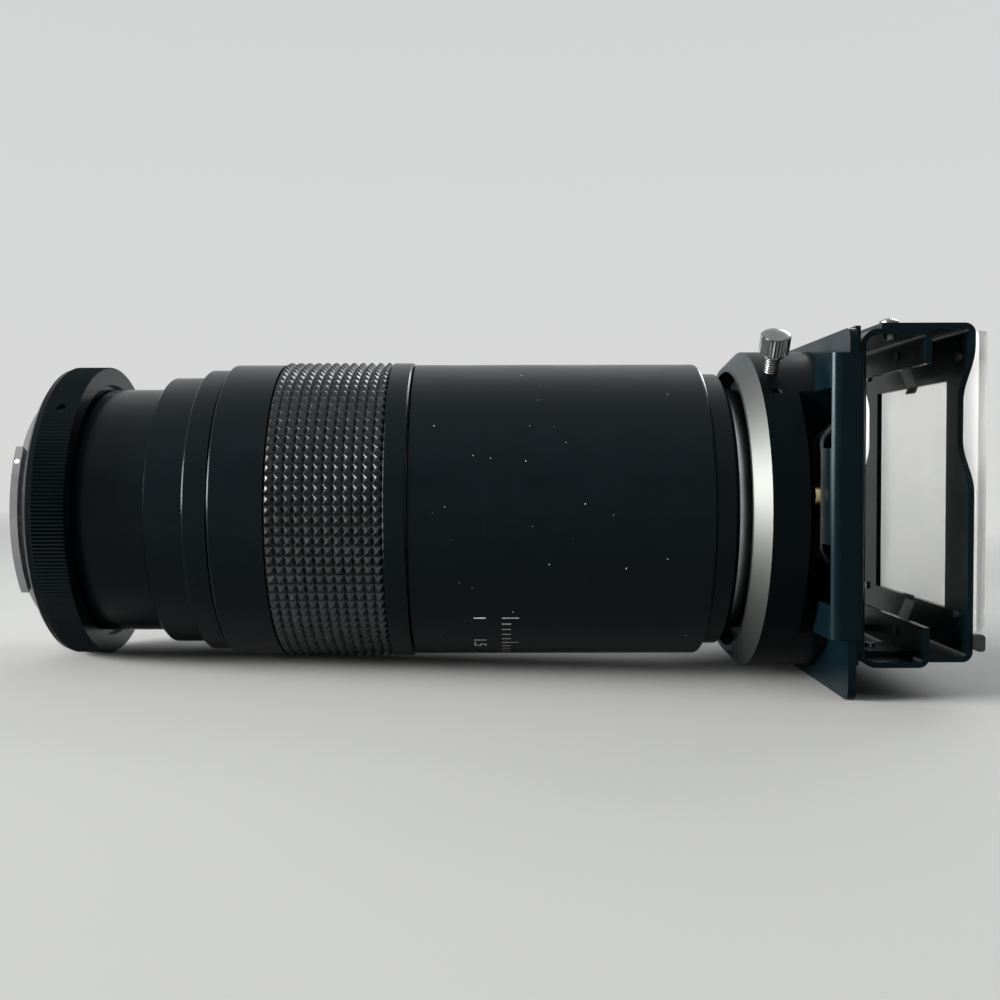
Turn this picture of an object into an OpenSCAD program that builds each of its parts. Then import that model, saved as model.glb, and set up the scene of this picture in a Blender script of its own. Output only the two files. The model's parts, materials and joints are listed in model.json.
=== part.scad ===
// Zoom slide duplicator: a lens tube that fits a camera in place of its lens,
// with a turning slide holder on its far end.
// The optical axis is X. X = 0 is the face that seats on the camera, +X runs to the slide,
// +Z is up, and -Y is the side that carries the thumbscrew.

/* [Camera mount] */
// Outer radius over the knurl of the mount ring
mount_r = 31; // [29:0.5:34]
// Length of the mount ring along the axis
mount_len = 8.4; // [7.5:0.1:12]
// Wall between the mount ring's bore and its knurl
mount_wall = 3.7; // [3:0.1:4.5]
// Length of the plain lip at the camera side
mount_lip_len = 1.9; // [1:0.1:3]
// Spacing of the knurl ribs
knurl_pitch = 0.78; // [0.7:0.01:2]
// Depth of the knurl ribs
knurl_depth = 0.35; // [0.15:0.05:0.6]
// How far the bayonet stands out towards the camera
bayonet_len = 3.6; // [2.5:0.1:5]
// Outer radius of the bayonet lugs
bayonet_lug_r = 27; // [25.6:0.1:28]
// Outer radius of the bayonet tube between its lugs
bayonet_tube_r = 24.6; // [23.5:0.1:25.2]
// Radius of the rear light opening
throat_r = 21.5; // [20:0.1:23]
// Radius of the thread that joins the mount ring to the tube (42 mm thread)
thread_r = 21; // [20.5:0.1:21.5]
// Radius of the set screws in the mount ring and the collar
set_screw_r = 0.95; // [0.8:0.05:1.2]

/* [Rear tube] */
// How far the thin rear tube stands above the lens cell's bore
rear_wall = 0.8; // [0.6:0.1:1.2]
// Bare length of the rear tube in front of the mount ring
rear_bare_len = 14.5; // [8:0.5:30]
// Inner radius of the rear tube
rear_bore_r = 19.4; // [17:0.1:19.8]
// Height of the first step ring above the rear tube
step_ring_rise = 2.5; // [1.5:0.1:3.2]
// Length of the first step ring
step_ring_len = 8; // [4:0.5:15]
// Height of the second step ring above the rear tube
stop_ring_rise = 4.1; // [3.5:0.1:4.8]
// Length of the second step ring
stop_ring_len = 5; // [3:0.5:10]

/* [Zoom ring] */
// Wall of the zoom ring
zoom_wall = 2.75; // [2.5:0.05:4]
// Length of the plain band behind the grip
zoom_band_len = 10.8; // [8:0.2:16]
// Length of the rubber grip
grip_len = 23.2; // [20:0.1:30]
// Length of the plain end rim in front of the grip
zoom_rim_len = 4.4; // [3:0.1:8]
// How far the end rim stands above the plain band
zoom_rim_rise = 0.4; // [0.1:0.1:0.8]
// How deep the rubber grip is let in
grip_seat_depth = 1; // [0.8:0.1:1.4]
// Rows of pyramids around the grip
grip_rows = 96; // [64:4:108]
// Pyramids along the grip
grip_columns = 12; // [8:1:14]
// Height of a pyramid
pyramid_height = 0.95; // [0.5:0.05:1.2]
// Thickness of the rubber under the pyramids
grip_base = 0.55; // [0.5:0.05:0.8]

/* [Lens travel] */
// Lens travel in millimetres for each degree of the zoom ring
travel_per_degree = 0.2; // [0.1:0.02:0.2]
// Turn of the zoom ring from end to end
zoom_turn = 80; // [40:5:80]
// Radius of the cam pins
cam_pin_r = 1.5; // [1:0.1:1.8]
// Inner radius of the guide tube that the lens cell slides in
guide_bore_r = 25.4; // [25.2:0.1:27]
// Wall of the guide tube
guide_wall = 1.6; // [1.4:0.1:2]
// Wall of the cam sleeve
cam_wall = 1.55; // [1.3:0.05:2]
// Length of the lens cell
cell_len = 30; // [26:0.5:32]
// Wall of the lens cell round the front lens
front_lens_wall = 3.35; // [2.6:0.05:6]
// Wall of the lens cell round the rear lens
rear_lens_wall = 4.35; // [3:0.05:7]
// Radius of the hole in the stop plate
stop_hole_r = 9; // [4:0.5:14]

/* [Main barrel] */
// Wall of the main barrel, whose outside is flush with the zoom ring's band
barrel_wall = 1.8; // [1.4:0.1:2]
// Length of the main barrel
barrel_len = 60.3; // [50:0.5:90]
// How far the narrow front ring lies inside the barrel's bore
front_ring_step = 0.3; // [0.1:0.1:1]
// Wall of the front ring where it fits in the barrel
front_ring_wall = 3.58; // [2.5:0.02:4.5]
// Length of the front ring that shows
front_ring_len = 4.7; // [3:0.1:8]
// Wall of the inner tube
inner_tube_wall = 1.6; // [1.4:0.1:2]
// Inner tube that shows between the front ring and the collar
inner_tube_gap = 2.1; // [1:0.1:6]

/* [Slide holder] */
// Wall of the collar
collar_wall = 7.95; // [7.5:0.05:10]
// Length of the collar
collar_len = 17; // [15:0.5:24]
// How far the collar's mouth is opened out beyond its bore
collar_mouth_step = 3.75; // [2:0.05:4]
// Depth of the collar's mouth
collar_mouth_depth = 3.5; // [2:0.1:4]
// Height and length of the bevel on the collar's mouth
collar_bevel = 3; // [1:0.1:3.2]
// Angle of the thumbscrew from straight up towards -Y
thumbscrew_angle = 33; // [0:1:60]
// Radius of the thumbscrew's thread
thumbscrew_r = 1.45; // [1.2:0.05:1.6]
// Thread pitch of the thumbscrew
thumbscrew_pitch = 0.5; // [0.4:0.05:0.8]
// Turns that free the holder
thumbscrew_turns = 2; // [1:0.5:2]
// Radius of the thumbscrew's head
thumb_head_r = 3; // [2.5:0.1:4]
// Height of the thumbscrew's head
thumb_head_h = 5.5; // [4:0.1:8]
// How far the square flange plate reaches past the collar
flange_margin = 1.5; // [1:0.1:3]
// Thickness of the flange plate
flange_t = 1.6; // [1.4:0.1:2.2]
// Thickness of the collar's front wall round the light opening
collar_front_wall = 1.6; // [1.2:0.1:3]

/* [Stage] */
// Height of the stage above the optical axis at rest
stage_shift = 3.5; // [-7:0.5:7]
// Thickness of the bent sheet
sheet_t = 1.1; // [0.9:0.1:1.3]
// Thickness of the carrier's sheet
carrier_t = 1; // [0.8:0.1:1.2]
// Height of the carrier's side webs
web_h = 54.2; // [48:0.5:60]
// How far the webs reach back over the flange plate
web_back = 3.8; // [3:0.1:6]
// Depth of the tabs that are bent in behind the flange plate
tab_depth = 12; // [9:0.5:12]
// Height of the end tabs
end_tab_h = 6.6; // [5:0.2:9]
// Half the height of the middle tab that carries the leaf spring
mid_tab_half = 9.2; // [7:0.2:11]
// Height from a slide's edge to the outside of a stage bracket
lip_h = 7.5; // [7:0.1:9]
// How far the stage brackets reach past a slide on each side
side_reach = 8; // [6:0.5:10]
// Depth of the stage bracket
bracket_depth = 13.6; // [12:0.2:18]
// Side of a slide mount
slide_side = 50; // [50:0.5:50.5]
// Length of the slot that a slide mount goes in, along the axis
slide_slot = 7.2; // [6.8:0.1:9]
// Width of the gate's window
window_w = 43; // [36:1:44]
// Height of the gate's window
window_h = 45.5; // [36:0.5:46]
// Depth of the thumb notch in the gate's edge
notch_depth = 5.7; // [4:0.1:7]
// Length of the thumb notch
notch_len = 28; // [20:1:30]
// Height of the notch's middle above the gate's middle
notch_z = 14.6; // [8:0.2:15]
// Thickness of the opal diffuser
opal_t = 1.6; // [1:0.1:3]

/* [Hidden] */
$fn = 96;

// Clearances
run_gap = 0.05;      // between round faces that turn or slide
seat_gap = 0.02;     // between round faces that are screwed or pressed together
end_gap = 0.2;       // between the end faces of rings that turn past each other
slide_gap = 0.15;    // between the flange plate and the carrier
spring_gap = 0.3;    // between the leaf spring's ends and the flange plate
eps = 0.01;          // how far a cut runs past the face that it opens

// Stations along the optical axis
thread_ring_x = 1.7;
thread_face_x = mount_len - 1;
step_x = mount_len + rear_bare_len;
stop_x = step_x + step_ring_len;
guide_x = stop_x + stop_ring_len;
zoom_x = guide_x + end_gap;
grip_x = zoom_x + zoom_band_len;
rim_x = grip_x + grip_len;
zoom_end_x = rim_x + zoom_rim_len;
barrel_x = zoom_end_x + 0.3;
barrel_end_x = barrel_x + barrel_len;
front_end_x = barrel_end_x + front_ring_len;
collar_x = front_end_x + inner_tube_gap;
clamp_inset = 6;
clamp_x = collar_x + clamp_inset;
flange_x = collar_x + collar_len;
carrier_x = flange_x + flange_t + slide_gap;
bracket_x = carrier_x + carrier_t;
lip_x = bracket_x + bracket_depth - sheet_t;
gate_x = lip_x + sheet_t + slide_slot;
opal_x = gate_x + sheet_t;

// Radii, from the inside out
rear_r = guide_bore_r + rear_wall;
step_ring_r = rear_r + step_ring_rise;
stop_ring_r = rear_r + stop_ring_rise;
guide_r = guide_bore_r + guide_wall;
cam_bore_r = guide_r + run_gap;
cam_sleeve_r = cam_bore_r + cam_wall;
zoom_bore_r = cam_sleeve_r + run_gap;
zoom_r = zoom_bore_r + zoom_wall;
barrel_r = zoom_r;
barrel_bore_r = barrel_r - barrel_wall;
front_ring_r = barrel_bore_r - front_ring_step;
inner_tube_r = barrel_bore_r - seat_gap - front_ring_wall;
inner_bore_r = inner_tube_r - inner_tube_wall;
collar_bore_r = inner_tube_r + run_gap;
collar_mouth_r = collar_bore_r + collar_mouth_step;
collar_r = collar_bore_r + collar_wall;

// Camera mount
mount_bore_r = mount_r - mount_wall;
knurl_count = round(2 * PI * mount_r / knurl_pitch);
lug_len = 1.5;
lug_angle = 66;
lug_count = 3;
mount_screw_count = 3;
mount_screw_depth = 1;
mount_screw_first = 46.5;
mount_screw_x = mount_lip_len + (mount_len - mount_lip_len) / 2;

// Rear tube
thread_wall_r = thread_r - seat_gap;
spigot_len = 4;
spigot_r = guide_bore_r - seat_gap;
edge = 0.35;

// Barrel front
barrel_web_len = 4;
barrel_web_x = barrel_x + 2;
front_spigot_len = 6;
inner_start_x = barrel_end_x - front_spigot_len;
inner_tail = 4;
inner_end_x = clamp_x + inner_tail;
groove_depth = 0.5;
groove_half = 1.7;

// Zoom mechanism
zoom_end_wall = 2.6;
cam_x = zoom_x + zoom_end_wall + eps;
cam_len = zoom_end_x - 1 - cam_x;
lens_travel = travel_per_degree * zoom_turn;
cam_count = 3;
cam_slot_margin = 7;
cam_pin_x = cam_x + cam_slot_margin;
cam_slot_gap = 0.35;
sleeve_screw_r = 1;
cam_pin_tip_r = cam_sleeve_r - 0.2;
cell_x = cam_pin_x - 5;
cell_r = guide_bore_r - run_gap;
front_lens_r = cell_r - front_lens_wall;
rear_lens_r = cell_r - rear_lens_wall;
cell_land = 8;
pin_root_r = front_lens_r + 0.6;
retainer_len = 2;
retainer_step = 1.6;
lens_edge = 2.4;
lens_bulge = 2.6;
lens_gap = 0.05;
cell_bore_r = rear_lens_r - 1.5;
front_lens_x = cell_x + cell_len - cell_land + lens_rise(front_lens_r, cell_bore_r) + lens_gap;
rear_lens_x = cell_x + cell_land - lens_edge - lens_rise(rear_lens_r, cell_bore_r) - lens_gap;
stop_t = 1;
stop_x_mid = cell_x + cell_len / 2;
guide_end_x = inner_start_x - barrel_web_len / 2;

// Rubber grip
grip_root_r = zoom_r - grip_seat_depth + run_gap;
grip_floor_r = grip_root_r + grip_base;

// Slide holder
collar_step_x = inner_end_x + end_gap;
collar_set_angle = thumbscrew_angle + 12;
shoe_r = thumbscrew_r - 0.05;
shoe_t = 1.6;
shoe_foot_r = inner_tube_r - groove_depth + run_gap;
screw_tip_r = shoe_foot_r + shoe_t;
thumb_travel = thumbscrew_pitch * thumbscrew_turns;
thumb_neck_r = collar_r + 3.6;
thumb_neck_h = 0.9;
flange_corner_r = 2.5;
flange_screw_r = 0.9;
flange_screw_head_r = 1.9;
flange_screw_len = 5;
flange_screw_at = (collar_r + collar_bore_r) / 2 / sqrt(2);

// Stage, drawn about its own middle and then lifted by stage_shift
flange_side = 2 * (collar_r + flange_margin);
bracket_h = slide_side + 2 * lip_h;
bracket_w = slide_side + 2 * side_reach;
web_inner = flange_side / 2 + 0.3;
web_outer = web_inner + carrier_t;
tab_x = flange_x - web_back;
tab_bend_r = 2;
plate_bend_r = 1.2;
mid_gap_half = web_h / 2 - end_tab_h;
leaf_w = 6.2;
leaf_t = 0.45;
leaf_y = web_outer - tab_depth + 0.3;
leaf_straight = mid_tab_half + 0.4;
leaf_bend_r = 3.2;
leaf_bend = 50;
rivet_r = 1;
rivet_head_r = 1.9;
rivet_head_h = 1.3;
back_bend_r = 3.5;
lip_bend_r = 2;
lip_edge = slide_side / 2 + 0.3;
light_hole = 46;
gate_back = 11;
stage_screw_x = bracket_x + 6.2;
stage_screw_top_y = bracket_w / 2 - 2.6;
stage_screw_bottom_y = 20;
tongue_w = 12;
stage_screw_r = 1;
stage_screw_head_r = 1.8;
stage_screw_head_h = 1.1;
carrier_rivet_at = light_hole / 2 + 3.2;
collar_flat_y = web_outer - tab_depth - 0.8;
collar_flat_x = tab_x - leaf_t - rivet_head_h - 1.2;
flange_hole_r = collar_flat_y - collar_front_wall;
slide_spring_t = 0.4;
slide_spring_w = 5;
slide_spring_tongue = 5.2;
slide_spring_throw = 2.2;
slide_spring_y = 17;
slide_rivet_z = lip_edge + (lip_h - sheet_t) * 0.44;
slide_rivet_r = 0.8;
opal_w = 69;
opal_top = bracket_h / 2 - 1;
opal_bottom = -bracket_h / 2 + 6;
rail_h = 3.2;
diffuser_screw_y = bracket_w / 2 - 5;
diffuser_screw_top = opal_top - 4.5;
diffuser_screw_bottom = opal_bottom + 3.2;

// Turns a shape that is drawn along +Z so that it lies along +X
module along_x(x = 0) {
    translate([x, 0, 0]) rotate([0, 90, 0]) children();
}

// Turns a shape that is drawn along +Z so that it points out from the axis, at an angle from +Z to -Y
module outward(x, angle) {
    translate([x, 0, 0]) rotate([angle, 0, 0]) children();
}

// Repeats a shape evenly around the optical axis
module around_axis(count, first = 0) {
    for (i = [0:count - 1]) rotate([first + i * 360 / count, 0, 0]) children();
}

// A plain tube along the axis
module tube(x, len, outer, inner) {
    along_x(x) rotate_extrude() translate([inner, 0]) square([outer - inner, len]);
}

// A turned piece from [radius, station] points
module turned(points) {
    along_x() rotate_extrude() polygon(points);
}

// A square with round corners, centred
module round_rect(w, h, r) {
    square([w - 2 * r, h], center = true);
    square([w, h - 2 * r], center = true);
    for (a = [-1, 1], b = [-1, 1]) translate([a * (w / 2 - r), b * (h / 2 - r)]) circle(r);
}

// A straight-knurled disc along +Z
module knurled(r, depth, count, len) {
    step = 180 / count;
    linear_extrude(len) polygon([
        for (i = [0:2 * count - 1])
            let (rr = i % 2 == 0 ? r : r - depth)
            rr * [cos(i * step), sin(i * step)]
    ]);
}

// A pan head along +Z with its seat at z = 0
module pan_head(r, h) {
    edge_h = h * 0.45;
    rise = h - edge_h;
    dome_r = (r * r + rise * rise) / (2 * rise);
    cylinder(r = r, h = edge_h);
    intersection() {
        translate([0, 0, h - dome_r]) sphere(dome_r);
        translate([0, 0, edge_h]) cylinder(r = r, h = h);
    }
}

module bayonet_flange() {
    color("silver") {
        turned([
            [throat_r, -bayonet_len], [bayonet_tube_r - 0.3, -bayonet_len],
            [bayonet_tube_r, 0.3 - bayonet_len], [bayonet_tube_r, 0],
            [mount_bore_r - seat_gap, 0], [mount_bore_r - seat_gap, thread_ring_x],
            [throat_r, thread_ring_x]
        ]);
        around_axis(lug_count)
            along_x(-bayonet_len)
                rotate_extrude(angle = lug_angle)
                    translate([bayonet_tube_r - 0.5, 0])
                        square([bayonet_lug_r - bayonet_tube_r + 0.5, lug_len]);
    }
}

module mount_ring() {
    lip_r = mount_r - knurl_depth - 0.1;
    color("dimgray") difference() {
        union() {
            turned([
                [mount_bore_r, 0], [lip_r - 1, 0], [lip_r, 0.8],
                [lip_r, mount_lip_len], [mount_bore_r, mount_lip_len]
            ]);
            along_x(mount_lip_len - eps)
                knurled(mount_r, knurl_depth, knurl_count, mount_len - mount_lip_len + eps);
        }
        tube(mount_lip_len - 1, mount_len, mount_bore_r, 0);
        for (i = [0:mount_screw_count - 1])
            outward(mount_screw_x, mount_screw_first + i * 360 / mount_screw_count)
                cylinder(r = set_screw_r + seat_gap, h = mount_r + 1);
    }
}

module thread_ring() {
    color("gray") difference() {
        tube(thread_ring_x, thread_face_x - thread_ring_x, mount_bore_r - seat_gap, thread_r);
        for (i = [0:mount_screw_count - 1])
            outward(mount_screw_x, mount_screw_first + i * 360 / mount_screw_count)
                translate([0, 0, mount_bore_r - mount_screw_depth])
                    cylinder(r = set_screw_r + seat_gap, h = 2 * mount_screw_depth);
    }
}

module mount_set_screws() {
    color("silver")
        for (i = [0:mount_screw_count - 1])
            outward(mount_screw_x, mount_screw_first + i * 360 / mount_screw_count)
                translate([0, 0, mount_bore_r - mount_screw_depth + seat_gap])
                    cylinder(r = set_screw_r, h = mount_wall);
}

module rear_tube() {
    color("dimgray") turned([
        [rear_bore_r, thread_ring_x + 0.5], [thread_wall_r - 0.4, thread_ring_x + 0.5],
        [thread_wall_r, thread_ring_x + 0.9], [thread_wall_r, thread_face_x],
        [rear_r - edge, thread_face_x], [rear_r, thread_face_x + edge],
        [rear_r, guide_x], [spigot_r, guide_x], [spigot_r, guide_x + spigot_len],
        [spigot_r - 1.2, guide_x + spigot_len], [spigot_r - 1.2, guide_x - 4],
        [rear_bore_r, guide_x - 6]
    ]);
}

module step_ring() {
    bore = rear_r + seat_gap;
    color("dimgray") turned([
        [bore, step_x], [step_ring_r - edge, step_x], [step_ring_r, step_x + edge],
        [step_ring_r, stop_x - edge], [step_ring_r - edge, stop_x], [bore, stop_x]
    ]);
}

module stop_ring() {
    bore = rear_r + seat_gap;
    color("dimgray") turned([
        [bore, stop_x], [stop_ring_r - edge, stop_x], [stop_ring_r, stop_x + edge],
        [stop_ring_r, guide_x - edge], [stop_ring_r - edge, guide_x], [bore, guide_x]
    ]);
}

// Straight slots hold the cam pins in line while the sleeve turns round them
module guide_tube() {
    slot_r = cam_pin_r + run_gap;
    slot_end = 0.4;
    color("gray") difference() {
        tube(guide_x, guide_end_x - guide_x, guide_r, guide_bore_r);
        around_axis(cam_count) {
            translate([cam_pin_x - slot_end, -slot_r, guide_bore_r - 1])
                cube([lens_travel + 2 * slot_end, 2 * slot_r, 4]);
            for (x = [cam_pin_x - slot_end, cam_pin_x + lens_travel + slot_end])
                translate([x, 0, guide_bore_r - 1]) cylinder(r = slot_r, h = 4);
        }
    }
}

module main_barrel() {
    web_r = guide_r + seat_gap;
    round_r = 1;
    color("dimgray") turned([
        [barrel_bore_r, barrel_x], [barrel_r - 0.2, barrel_x], [barrel_r, barrel_x + 0.2],
        for (a = [0:15:90])
            [barrel_r - round_r + round_r * cos(a), barrel_end_x - round_r + round_r * sin(a)],
        [barrel_bore_r, barrel_end_x], [barrel_bore_r, barrel_web_x + barrel_web_len],
        [web_r, barrel_web_x + barrel_web_len], [web_r, barrel_web_x],
        [barrel_bore_r, barrel_web_x]
    ]);
}

module front_ring() {
    bore = inner_tube_r + seat_gap;
    spigot = barrel_bore_r - seat_gap;
    bevel = 0.9;
    color("dimgray") turned([
        [bore, inner_start_x], [spigot, inner_start_x], [spigot, barrel_end_x],
        [front_ring_r, barrel_end_x], [front_ring_r, front_end_x - bevel],
        [front_ring_r - bevel, front_end_x], [bore, front_end_x]
    ]);
}

// A groove round the front end keeps the collar on while it turns
module inner_tube() {
    floor_r = inner_tube_r - groove_depth;
    color("gray") turned([
        [inner_bore_r, inner_start_x], [inner_tube_r, inner_start_x],
        [inner_tube_r, clamp_x - groove_half], [floor_r, clamp_x - groove_half],
        [floor_r, clamp_x + groove_half], [inner_tube_r, clamp_x + groove_half],
        [inner_tube_r, inner_end_x], [inner_bore_r, inner_end_x]
    ]);
}

module zoom_ring() {
    seat_r = zoom_r - grip_seat_depth;
    rim_r = zoom_r + zoom_rim_rise;
    color("dimgray") difference() {
        turned([
            [cam_bore_r, zoom_x], [zoom_r - edge, zoom_x], [zoom_r, zoom_x + edge],
            [zoom_r, grip_x], [seat_r, grip_x], [seat_r, rim_x], [rim_r - 0.2, rim_x],
            [rim_r, rim_x + 0.2], [rim_r, zoom_end_x - 0.3], [rim_r - 0.3, zoom_end_x],
            [zoom_bore_r, zoom_end_x], [zoom_bore_r, zoom_x + zoom_end_wall],
            [cam_bore_r, zoom_x + zoom_end_wall]
        ]);
        sleeve_screws(sleeve_screw_r + seat_gap, zoom_r);
    }
}

// Small screws under the grip join the cam sleeve to the zoom ring
module sleeve_screws(r, top) {
    around_axis(cam_count, 60)
        translate([rim_x - 4, 0, cam_bore_r + 0.3])
            cylinder(r = r, h = top - cam_bore_r - 0.3);
}

// Rubber sleeve moulded with rows of square pyramids: one closed mesh.
// Each pyramid's base corners lie on the floor radius and its tip stands pyramid_height above.
module rubber_grip() {
    x0 = grip_x + 0.1;
    len = grip_len - 0.2;
    cols = grip_columns;
    rows = grip_rows;
    pitch = len / cols;
    turn = 360 / rows;
    at = function (r, a, x) [x, r * sin(a), r * cos(a)];
    grid = [for (c = [0:cols], i = [0:rows - 1]) at(grip_floor_r, i * turn, x0 + c * pitch)];
    tips = [
        for (c = [0:cols - 1], i = [0:rows - 1])
            at(grip_floor_r + pyramid_height, (i + 0.5) * turn, x0 + (c + 0.5) * pitch)
    ];
    ends = [for (e = [0, 1], i = [0:rows - 1]) at(grip_root_r, i * turn, x0 + e * len)];
    g = function (c, i) c * rows + i % rows;
    t = function (c, i) len(grid) + c * rows + i % rows;
    b = function (e, i) len(grid) + len(tips) + e * rows + i % rows;
    faces = [
        for (c = [0:cols - 1], i = [0:rows - 1]) each [
            [g(c, i), t(c, i), g(c, i + 1)],
            [g(c, i + 1), t(c, i), g(c + 1, i + 1)],
            [g(c + 1, i + 1), t(c, i), g(c + 1, i)],
            [g(c + 1, i), t(c, i), g(c, i)]
        ],
        for (i = [0:rows - 1]) each [
            [g(0, i), g(0, i + 1), b(0, i + 1)], [g(0, i), b(0, i + 1), b(0, i)],
            [g(cols, i), b(1, i), b(1, i + 1)], [g(cols, i), b(1, i + 1), g(cols, i + 1)],
            [b(0, i), b(0, i + 1), b(1, i + 1)], [b(0, i), b(1, i + 1), b(1, i)]
        ]
    ];
    color("black") polyhedron(concat(grid, tips, ends), faces);
}

// Helical slot cutter: its middle starts at the cam pin's rest place and climbs the travel
module cam_slot() {
    steps = 20;
    half = cam_pin_r + cam_slot_gap;
    over = 9;
    inner = cam_bore_r - 1;
    outer = cam_sleeve_r + 1;
    station = function (a) cam_pin_x + travel_per_degree * a;
    angle_at = function (i) -over + i * (zoom_turn + 2 * over) / steps;
    corner = function (r, a, x) [x, r * sin(a), r * cos(a)];
    reach = half / cos(atan(travel_per_degree * 180 / PI / guide_r));
    points = [
        for (i = [0:steps])
            let (a = angle_at(i), x = station(a))
            each [
                corner(inner, a, x - reach), corner(outer, a, x - reach),
                corner(outer, a, x + reach), corner(inner, a, x + reach)
            ]
    ];
    faces = [
        [0, 1, 2], [0, 2, 3],
        for (i = [0:steps - 1], j = [0:3])
            let (p = 4 * i + j, q = 4 * i + (j + 1) % 4)
            each [[p, q + 4, q], [p, p + 4, q + 4]],
        [4 * steps, 4 * steps + 2, 4 * steps + 1], [4 * steps, 4 * steps + 3, 4 * steps + 2]
    ];
    polyhedron(points, faces);
}

module cam_sleeve() {
    color("goldenrod") difference() {
        tube(cam_x, cam_len, cam_sleeve_r, cam_bore_r);
        around_axis(cam_count) cam_slot();
        sleeve_screws(sleeve_screw_r + seat_gap, zoom_r);
    }
}

module cam_sleeve_screws() {
    color("silver") sleeve_screws(sleeve_screw_r, zoom_r - grip_seat_depth - 0.1);
}

module lens_cell() {
    relief_r = cell_r - 0.5;
    end_x = cell_x + cell_len;
    rear_seat = cell_x + cell_land;
    front_seat = end_x - cell_land;
    color("black") difference() {
        turned([
            [rear_lens_r + seat_gap, cell_x], [cell_r, cell_x], [cell_r, rear_seat],
            [relief_r, rear_seat + 0.5], [relief_r, front_seat - 0.5], [cell_r, front_seat],
            [cell_r, end_x], [front_lens_r + seat_gap, end_x],
            [front_lens_r + seat_gap, front_seat], [cell_bore_r, front_seat],
            [cell_bore_r, rear_seat], [rear_lens_r + seat_gap, rear_seat]
        ]);
        around_axis(cam_count)
            translate([cam_pin_x, 0, pin_root_r])
                cylinder(r = cam_pin_r + seat_gap, h = 5);
    }
}

// How far a lens of radius r bulges beyond its edge at another radius
function lens_rise(r, at) =
    let (ball_r = (r * r + lens_bulge * lens_bulge) / (2 * lens_bulge))
    sqrt(ball_r * ball_r - at * at) - ball_r + lens_bulge;

// A lens with two bulged faces, its edge running from x to x + lens_edge
module lens(x, r) {
    steps = 12;
    turned([
        for (i = [0:steps]) [r * i / steps, x - lens_rise(r, r * i / steps)],
        for (i = [steps:-1:0]) [r * i / steps, x + lens_edge + lens_rise(r, r * i / steps)]
    ]);
}

module front_lens() {
    color("lightblue") lens(front_lens_x, front_lens_r);
}

module rear_lens() {
    color("lightblue") lens(rear_lens_x, rear_lens_r);
}

module lens_retainers() {
    color("black") {
        front_ring_bore = front_lens_r - retainer_step;
        rear_ring_bore = rear_lens_r - retainer_step;
        front_lift = lens_rise(front_lens_r, front_ring_bore) + lens_gap;
        rear_lift = lens_rise(rear_lens_r, rear_ring_bore) + lens_gap;
        tube(front_lens_x + lens_edge + front_lift, retainer_len, front_lens_r, front_ring_bore);
        tube(rear_lens_x - rear_lift - retainer_len, retainer_len, rear_lens_r, rear_ring_bore);
    }
}

module stop_plate() {
    color("black")
        tube(stop_x_mid, stop_t, cell_bore_r - seat_gap, stop_hole_r);
}

module cam_pins() {
    color("silver") around_axis(cam_count)
        translate([cam_pin_x, 0, pin_root_r]) cylinder(r = cam_pin_r, h = cam_pin_tip_r - pin_root_r);
}

// Flats on both sides leave room for the carrier's tabs and leaf springs to slide
module holder_collar() {
    color("dimgray") difference() {
        turned([
            [collar_mouth_r, collar_x], [collar_r - collar_bevel, collar_x],
            [collar_r, collar_x + collar_bevel], [collar_r, flange_x],
            [flange_hole_r, flange_x], [flange_hole_r, collar_step_x],
            [collar_bore_r, collar_step_x], [collar_bore_r, collar_x + collar_mouth_depth],
            [collar_mouth_r, collar_x + collar_mouth_depth]
        ]);
        outward(clamp_x, thumbscrew_angle) cylinder(r = thumbscrew_r + run_gap, h = collar_r + 2);
        outward(clamp_x, collar_set_angle) cylinder(r = set_screw_r + seat_gap, h = collar_r + 2);
        for (a = [-1, 1], b = [-1, 1])
            translate([flange_x - flange_screw_len, a * flange_screw_at, b * flange_screw_at])
                along_x() cylinder(r = flange_screw_r + seat_gap, h = flange_screw_len + 1);
        for (s = [0, 180])
            rotate([s, 0, 0])
                translate([collar_flat_x, collar_flat_y, -collar_r])
                    cube([collar_len, collar_r, 2 * collar_r]);
    }
}

module collar_set_screw() {
    tip = inner_tube_r - groove_depth + run_gap;
    color("silver") outward(clamp_x, collar_set_angle)
        translate([0, 0, tip]) cylinder(r = set_screw_r, h = collar_r - 1 - tip);
}

module flange_plate() {
    color("dimgray") difference() {
        along_x(flange_x) linear_extrude(flange_t) difference() {
            round_rect(flange_side, flange_side, flange_corner_r);
            circle(flange_hole_r);
        }
        for (a = [-1, 1], b = [-1, 1])
            translate([flange_x, a * flange_screw_at, b * flange_screw_at])
                flange_screw_shape(seat_gap);
    }
}

// A flat head screw whose head lies flush with the flange plate's front face
module flange_screw_shape(grow = 0) {
    cone_h = flange_screw_head_r - flange_screw_r;
    along_x() {
        translate([0, 0, grow - flange_screw_len + 0.2])
            cylinder(r = flange_screw_r + grow, h = flange_screw_len + flange_t - cone_h);
        translate([0, 0, flange_t - cone_h - 0.1])
            cylinder(r1 = flange_screw_r + grow, r2 = flange_screw_head_r + grow, h = cone_h);
        translate([0, 0, flange_t - 0.1]) cylinder(r = flange_screw_head_r + grow, h = 0.1 + grow);
    }
}

module flange_screws() {
    color("silver")
        for (a = [-1, 1], b = [-1, 1])
            translate([flange_x, a * flange_screw_at, b * flange_screw_at])
                flange_screw_shape();
}

// Brass shoe that rides on the thumbscrew's tip and presses on the inner tube
module clamp_shoe() {
    color("goldenrod") outward(clamp_x, thumbscrew_angle)
        difference() {
            translate([0, 0, shoe_foot_r]) cylinder(r = shoe_r, h = shoe_t);
            translate([0, 0, screw_tip_r - 0.8]) cylinder(r = 0.75, h = 1);
        }
}

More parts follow.
